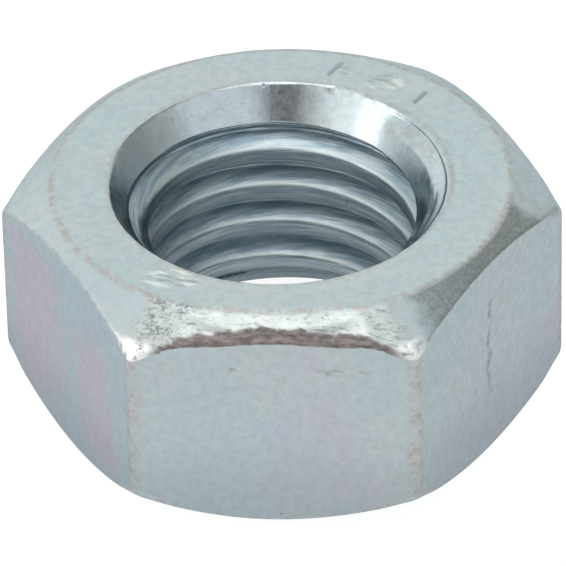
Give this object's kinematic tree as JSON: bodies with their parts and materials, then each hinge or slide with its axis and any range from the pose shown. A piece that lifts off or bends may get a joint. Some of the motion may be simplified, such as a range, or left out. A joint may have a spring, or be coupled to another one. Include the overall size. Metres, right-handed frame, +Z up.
{
  "type": "hex nut",
  "caption": "Plain hexagon nut with a right-hand helical thread, a countersink at each end and rounded chamfers on both faces, zinc plated.",
  "frame": {"origin": "middle of the bearing face the nut stands on", "axes": "+Z up along the thread axis; two wrench flats face -Y and +Y; two corners lie on -X and +X"},
  "size_m": [0.0218, 0.019, 0.0097],
  "materials": {
    "zinc_plated_steel": "satin zinc plate over carbon steel"
  },
  "bodies": {
    "root": {"nut_body": "zinc_plated_steel"}
  },
  "joints": []
}
